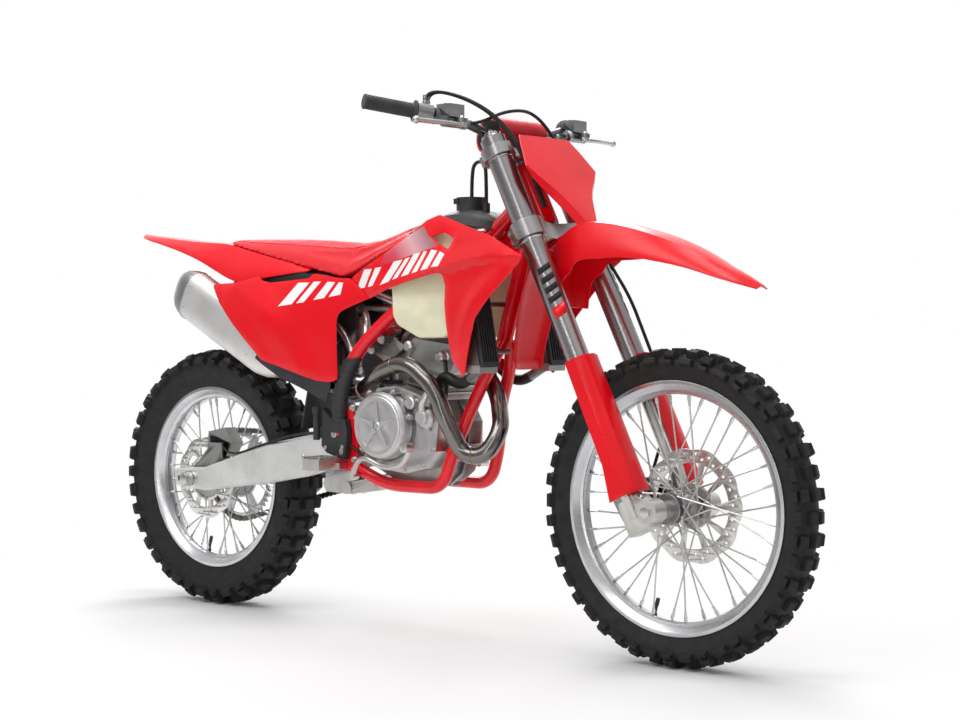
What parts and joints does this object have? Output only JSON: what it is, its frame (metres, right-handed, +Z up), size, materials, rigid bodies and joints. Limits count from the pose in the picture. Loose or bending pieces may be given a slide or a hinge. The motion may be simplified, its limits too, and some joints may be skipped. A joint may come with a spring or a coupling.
{
  "type": "motocross bike",
  "caption": "Off-road competition motorcycle with knobbed tyres, spoked wheels, long-travel fork, red bodywork and an open single-cylinder engine.",
  "frame": {"origin": "low point of the seat's top on the centre plane, where the rider holds the bike upright", "axes": "+X forwards, +Y to the rider's left, +Z up"},
  "size_m": [2.1753, 0.7848, 1.2882],
  "materials": {
    "red_plastic": "semi-gloss moulded",
    "black_plastic": "grained",
    "frame_paint": "powder coated",
    "cast_alloy": "cast, satin",
    "bare_alloy": "brushed",
    "machined_alloy": "machined",
    "anodised_alloy": "anodised silver",
    "steel": "polished",
    "dark_steel": "dark",
    "grey_alloy": "anodised grey",
    "tank_plastic": "translucent",
    "seat_cover": "embossed vinyl",
    "foam_pad": "foam cover",
    "rubber": "matte",
    "tyre": "matte rubber"
  },
  "bodies": {
    "chassis": {"frame_rails": "frame_paint", "frame_cradle": "frame_paint", "subframe": "bare_alloy", "engine_cases": "cast_alloy", "engine_covers": "cast_alloy", "cylinder": "cast_alloy", "exhaust_header": "steel", "silencer": "bare_alloy", "radiators": "bare_alloy", "radiator_guards": "black_plastic", "coolant_hoses": "rubber", "fuel_tank": "tank_plastic", "tank_cover": "black_plastic", "seat": "seat_cover", "rear_fender": "red_plastic", "side_panels": "red_plastic", "shrouds": "red_plastic", "swingarm": "bare_alloy", "rear_axle": "steel", "rear_caliper": "grey_alloy", "shock": "dark_steel", "linkage": "cast_alloy", "footpegs": "steel", "foot_levers": "cast_alloy", "frame_guards": "black_plastic", "airbox": "black_plastic", "chain": "dark_steel"},
    "steering": {"fork_clamps": "machined_alloy", "fork_tubes": "anodised_alloy", "fork_lowers": "cast_alloy", "fork_guards": "red_plastic", "front_axle": "steel", "front_caliper": "grey_alloy", "front_brake_hose": "rubber", "front_fender": "red_plastic", "number_plate": "red_plastic", "handlebar": "grey_alloy", "bar_pad": "foam_pad", "grips": "rubber", "control_housings": "grey_alloy", "hand_levers": "grey_alloy", "bar_cables": "rubber"},
    "front_wheel": {"front_tyre": "tyre", "front_rim": "anodised_alloy", "front_spokes": "steel", "front_hub": "machined_alloy", "front_disc": "steel"},
    "rear_wheel": {"rear_tyre": "tyre", "rear_rim": "anodised_alloy", "rear_spokes": "steel", "rear_hub": "machined_alloy", "rear_disc": "steel", "rear_sprocket": "dark_steel"}
  },
  "joints": [
    {"name": "steering_turn", "type": "hinge", "parent": "chassis", "child": "steering", "pos_m": [0.91561, 0, -0.6262], "axis": [-0.4399, 0, 0.898], "range_deg": [-42, 42]},
    {"name": "front_wheel_spin", "type": "hinge", "parent": "steering", "child": "front_wheel", "pos_m": [0.965, 0, -0.602], "axis": [0, 1, 0], "continuous": true},
    {"name": "rear_wheel_spin", "type": "hinge", "parent": "chassis", "child": "rear_wheel", "pos_m": [-0.52, 0, -0.611], "axis": [0, 1, 0], "continuous": true}
  ]
}
